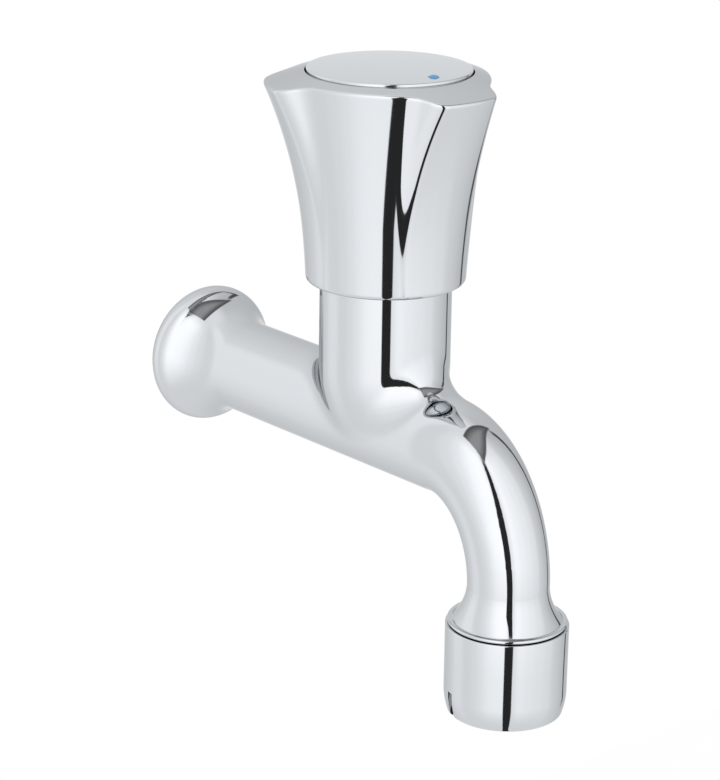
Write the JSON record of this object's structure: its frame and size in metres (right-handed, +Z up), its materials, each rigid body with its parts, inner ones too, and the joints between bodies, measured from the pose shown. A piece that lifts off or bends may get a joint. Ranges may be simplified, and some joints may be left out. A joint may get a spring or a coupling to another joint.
{
  "type": "wall-mounted water tap",
  "caption": "Chromed wall tap with a lobed turning handle, a lifting washer valve, a curved tapering spout and a screwed aerator.",
  "frame": {"origin": "centre of the wall flange's back face, on the inlet axis", "axes": "+Y into the wall along the inlet nipple, +Z up along the handle's spindle, +X to the right of someone who faces the wall; the spout reaches towards -Y"},
  "size_m": [0.0536, 0.1419, 0.1401],
  "materials": {
    "chrome_body": "polished chrome plate on cast brass",
    "chrome_handle": "polished chrome plate on die-cast metal",
    "chrome_cap": "polished chrome plate",
    "chrome_shell": "polished chrome plate on turned brass",
    "raw_brass": "turned",
    "spindle_brass": "turned and greased",
    "clip_steel": "stainless",
    "seal_rubber": "matte black",
    "fibre_seal": "red-brown vulcanised fibre",
    "white_plastic": "moulded acetal",
    "aerator_plastic": "moulded, pale grey",
    "blue_dot": "blue enamel"
  },
  "bodies": {
    "body": {"tap_body": "chrome_body", "inlet_nipple": "raw_brass", "nipple_seal": "fibre_seal", "bonnet": "raw_brass", "bonnet_gasket": "fibre_seal", "aerator_shell": "chrome_shell", "aerator_gasket": "seal_rubber", "aerator_cup": "aerator_plastic", "aerator_diffuser": "aerator_plastic", "aerator_screen": "clip_steel", "aerator_grid": "aerator_plastic"},
    "handle": {"handle_shell": "chrome_handle", "handle_insert": "white_plastic", "handle_screw": "clip_steel", "handle_cap": "chrome_cap", "index_dot": "blue_dot", "spindle": "spindle_brass", "spindle_seal_low": "seal_rubber", "spindle_seal_high": "seal_rubber", "spindle_clip": "clip_steel", "thrust_washer": "white_plastic"},
    "plunger": {"valve_plunger": "spindle_brass", "valve_washer": "seal_rubber", "washer_nut": "spindle_brass"}
  },
  "joints": [
    {"name": "handle_turn", "type": "hinge", "parent": "body", "child": "handle", "pos_m": [0, -0.07005, 0.06], "axis": [0, 0, 1], "range_deg": [0, 900]},
    {"name": "plunger_lift", "type": "slide", "parent": "body", "child": "plunger", "axis": [0, 0, 1], "range_m": [0, 0.0051]}
  ],
  "couplings": [
    {"joint": "plunger_lift", "follows": "handle_turn", "m_per_rad": 0.00031831}
  ]
}
